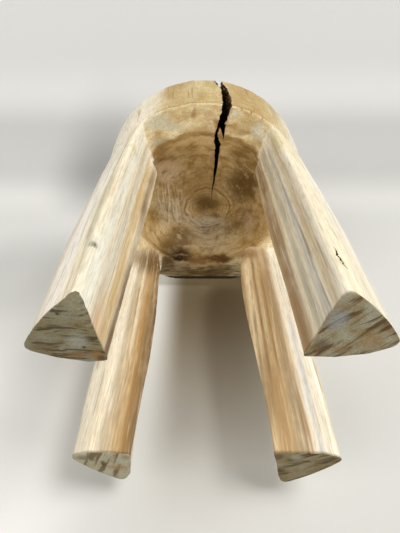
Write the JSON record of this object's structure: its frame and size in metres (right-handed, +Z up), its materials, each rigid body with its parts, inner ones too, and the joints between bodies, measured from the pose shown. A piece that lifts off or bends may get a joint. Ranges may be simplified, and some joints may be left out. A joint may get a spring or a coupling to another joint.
{
  "type": "carved log stool",
  "caption": "Round one-piece wooden stool carved from a log, with a thick cracked seat, a hollowed underside and straight legs of triangular section.",
  "frame": {"origin": "centre of the stool on the floor, between the feet", "axes": "+Z up along the trunk's axis; -Y is the front, where the drying crack opens; +X is to the right"},
  "size_m": [0.307, 0.307, 0.432],
  "materials": {
    "seat_wood": "raw carved wood, end grain above and below, matt",
    "leg_wood": "raw drawknifed long grain, matt"
  },
  "bodies": {
    "root": {"seat": "seat_wood", "front_left_leg": "leg_wood", "front_right_leg": "leg_wood", "rear_left_leg": "leg_wood", "rear_right_leg": "leg_wood"}
  },
  "joints": []
}
